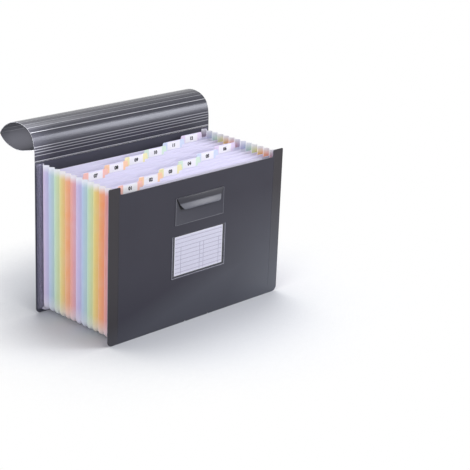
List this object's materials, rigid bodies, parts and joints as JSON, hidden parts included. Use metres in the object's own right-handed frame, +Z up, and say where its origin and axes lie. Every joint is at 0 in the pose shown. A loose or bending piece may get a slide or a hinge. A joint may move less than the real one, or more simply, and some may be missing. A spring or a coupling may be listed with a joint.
{
  "type": "accordion file folder",
  "caption": "Expanding file with stiff plastic covers, pleated coloured pockets between tabbed dividers, a label pocket, a roll-back flap with a button, and an elastic closing cord.",
  "frame": {"origin": "middle of the back cover's bottom edge, on the surface that the file stands on", "axes": "+X across the file to the right seen from the front, +Y to the back, +Z up"},
  "size_m": [0.33, 0.2458, 0.2727],
  "materials": {
    "cover": "satin grained sheet",
    "divider_sheet": "frosted sheet",
    "paper": "plain card",
    "clear_film": "clear film",
    "button": "gloss",
    "steel": "bright",
    "cord": "braided elastic",
    "ferrule": "crimped",
    "film_coral": "frosted film",
    "film_orange": "frosted film",
    "film_yellow": "frosted film",
    "film_green": "frosted film",
    "film_blue": "frosted film",
    "film_purple": "frosted film"
  },
  "bodies": {
    "back_cover": {"back_cover": "cover", "gusset_13": "film_purple", "cord_eyelets": "steel", "elastic_cord": "cord", "cord_ferrule": "ferrule"},
    "divider_12": {"divider_12": "divider_sheet", "tab_card_12": "paper", "gusset_12": "film_blue"},
    "divider_11": {"divider_11": "divider_sheet", "tab_card_11": "paper", "gusset_11": "film_green"},
    "divider_10": {"divider_10": "divider_sheet", "tab_card_10": "paper", "gusset_10": "film_yellow"},
    "divider_09": {"divider_09": "divider_sheet", "tab_card_09": "paper", "gusset_09": "film_orange"},
    "divider_08": {"divider_08": "divider_sheet", "tab_card_08": "paper", "gusset_08": "film_coral"},
    "divider_07": {"divider_07": "divider_sheet", "tab_card_07": "paper", "gusset_07": "film_purple"},
    "divider_06": {"divider_06": "divider_sheet", "tab_card_06": "paper", "gusset_06": "film_blue"},
    "divider_05": {"divider_05": "divider_sheet", "tab_card_05": "paper", "gusset_05": "film_green"},
    "divider_04": {"divider_04": "divider_sheet", "tab_card_04": "paper", "gusset_04": "film_yellow"},
    "divider_03": {"divider_03": "divider_sheet", "tab_card_03": "paper", "gusset_03": "film_orange"},
    "divider_02": {"divider_02": "divider_sheet", "tab_card_02": "paper", "gusset_02": "film_coral"},
    "divider_01": {"divider_01": "divider_sheet", "tab_card_01": "paper", "gusset_01": "film_purple"},
    "front_cover": {"front_cover": "cover", "catch_patch": "cover", "label_pocket": "clear_film"},
    "label_card": {"label_card": "paper"},
    "flap_spine": {"flap_spine": "cover"},
    "flap_band": {"flap_band": "cover"},
    "flap_fold_1": {"flap_fold_1": "cover"},
    "flap_fold_2": {"flap_fold_2": "cover"},
    "flap_tongue_root": {"flap_tongue_root": "cover"},
    "flap_curl_1": {"flap_curl_1": "cover"},
    "flap_curl_2": {"flap_curl_2": "cover"},
    "flap_curl_3": {"flap_curl_3": "cover"},
    "flap_tongue_tip": {"flap_tongue_tip": "cover", "button": "button", "button_rivet": "steel"}
  },
  "joints": [
    {"name": "pocket_13_slide", "type": "slide", "parent": "back_cover", "child": "divider_12", "axis": [0, 1, 0], "range_m": [0, 0.0089], "deforming": ["gusset_13"]},
    {"name": "pocket_12_slide", "type": "slide", "parent": "divider_12", "child": "divider_11", "axis": [0, 1, 0], "range_m": [0, 0.0089], "deforming": ["gusset_12"]},
    {"name": "pocket_11_slide", "type": "slide", "parent": "divider_11", "child": "divider_10", "axis": [0, 1, 0], "range_m": [0, 0.0089], "deforming": ["gusset_11"]},
    {"name": "pocket_10_slide", "type": "slide", "parent": "divider_10", "child": "divider_09", "axis": [0, 1, 0], "range_m": [0, 0.0089], "deforming": ["gusset_10"]},
    {"name": "pocket_09_slide", "type": "slide", "parent": "divider_09", "child": "divider_08", "axis": [0, 1, 0], "range_m": [0, 0.0089], "deforming": ["gusset_09"]},
    {"name": "pocket_08_slide", "type": "slide", "parent": "divider_08", "child": "divider_07", "axis": [0, 1, 0], "range_m": [0, 0.0089], "deforming": ["gusset_08"]},
    {"name": "pocket_07_slide", "type": "slide", "parent": "divider_07", "child": "divider_06", "axis": [0, 1, 0], "range_m": [0, 0.0089], "deforming": ["gusset_07"]},
    {"name": "pocket_06_slide", "type": "slide", "parent": "divider_06", "child": "divider_05", "axis": [0, 1, 0], "range_m": [0, 0.0089], "deforming": ["gusset_06"]},
    {"name": "pocket_05_slide", "type": "slide", "parent": "divider_05", "child": "divider_04", "axis": [0, 1, 0], "range_m": [0, 0.0089], "deforming": ["gusset_05"]},
    {"name": "pocket_04_slide", "type": "slide", "parent": "divider_04", "child": "divider_03", "axis": [0, 1, 0], "range_m": [0, 0.0089], "deforming": ["gusset_04"]},
    {"name": "pocket_03_slide", "type": "slide", "parent": "divider_03", "child": "divider_02", "axis": [0, 1, 0], "range_m": [0, 0.0089], "deforming": ["gusset_03"]},
    {"name": "pocket_02_slide", "type": "slide", "parent": "divider_02", "child": "divider_01", "axis": [0, 1, 0], "range_m": [0, 0.0089], "deforming": ["gusset_02"]},
    {"name": "pocket_01_slide", "type": "slide", "parent": "divider_01", "child": "front_cover", "axis": [0, 1, 0], "range_m": [0, 0.0089], "deforming": ["gusset_01"]},
    {"name": "label_card_slide", "type": "slide", "parent": "front_cover", "child": "label_card", "axis": [1, 0, 0], "range_m": [0, 0.1]},
    {"name": "flap_crease_01", "type": "hinge", "parent": "back_cover", "child": "flap_spine", "pos_m": [0, 0, 0.222], "axis": [1, 0, 0], "range_deg": [0, 32]},
    {"name": "flap_crease_02", "type": "hinge", "parent": "flap_spine", "child": "flap_band", "pos_m": [0, 0.00091, 0.24798], "axis": [1, 0, 0], "range_deg": [0, 56.01]},
    {"name": "flap_crease_03", "type": "hinge", "parent": "flap_band", "child": "flap_fold_1", "pos_m": [0, 0.0088, 0.26416], "axis": [1, 0, 0], "range_deg": [0, 62.01]},
    {"name": "flap_crease_04", "type": "hinge", "parent": "flap_fold_1", "child": "flap_fold_2", "pos_m": [0, 0.03135, 0.27237], "axis": [1, 0, 0], "range_deg": [0, 38.01]},
    {"name": "flap_crease_05", "type": "hinge", "parent": "flap_fold_2", "child": "flap_tongue_root", "pos_m": [0, 0.05499, 0.2682], "axis": [1, 0, 0], "range_deg": [0, 30.01]},
    {"name": "flap_crease_06", "type": "hinge", "parent": "flap_tongue_root", "child": "flap_curl_1", "pos_m": [0, 0.07488, 0.25478], "axis": [1, 0, 0], "range_deg": [0, 33.01]},
    {"name": "flap_crease_07", "type": "hinge", "parent": "flap_curl_1", "child": "flap_curl_2", "pos_m": [0, 0.08333, 0.23889], "axis": [1, 0, 0], "range_deg": [0, 54.01]},
    {"name": "flap_crease_08", "type": "hinge", "parent": "flap_curl_2", "child": "flap_curl_3", "pos_m": [0, 0.07688, 0.22209], "axis": [1, 0, 0], "range_deg": [0, 60.01]},
    {"name": "flap_crease_09", "type": "hinge", "parent": "flap_curl_3", "child": "flap_tongue_tip", "pos_m": [0, 0.05967, 0.21682], "axis": [1, 0, 0], "range_deg": [0, 72.01]}
  ],
  "couplings": [
    {"joint": "pocket_12_slide", "follows": "pocket_13_slide", "ratio": 1},
    {"joint": "pocket_11_slide", "follows": "pocket_13_slide", "ratio": 1},
    {"joint": "pocket_10_slide", "follows": "pocket_13_slide", "ratio": 1},
    {"joint": "pocket_09_slide", "follows": "pocket_13_slide", "ratio": 1},
    {"joint": "pocket_08_slide", "follows": "pocket_13_slide", "ratio": 1},
    {"joint": "pocket_07_slide", "follows": "pocket_13_slide", "ratio": 1},
    {"joint": "pocket_06_slide", "follows": "pocket_13_slide", "ratio": 1},
    {"joint": "pocket_05_slide", "follows": "pocket_13_slide", "ratio": 1},
    {"joint": "pocket_04_slide", "follows": "pocket_13_slide", "ratio": 1},
    {"joint": "pocket_03_slide", "follows": "pocket_13_slide", "ratio": 1},
    {"joint": "pocket_02_slide", "follows": "pocket_13_slide", "ratio": 1},
    {"joint": "pocket_01_slide", "follows": "pocket_13_slide", "ratio": 1},
    {"joint": "flap_crease_02", "follows": "flap_crease_01", "ratio": 1.75},
    {"joint": "flap_crease_03", "follows": "flap_crease_01", "ratio": 1.9375},
    {"joint": "flap_crease_04", "follows": "flap_crease_01", "ratio": 1.1875},
    {"joint": "flap_crease_05", "follows": "flap_crease_01", "ratio": 0.9375},
    {"joint": "flap_crease_06", "follows": "flap_crease_01", "ratio": 1.0312},
    {"joint": "flap_crease_07", "follows": "flap_crease_01", "ratio": 1.6875},
    {"joint": "flap_crease_08", "follows": "flap_crease_01", "ratio": 1.875},
    {"joint": "flap_crease_09", "follows": "flap_crease_01", "ratio": 2.25}
  ]
}
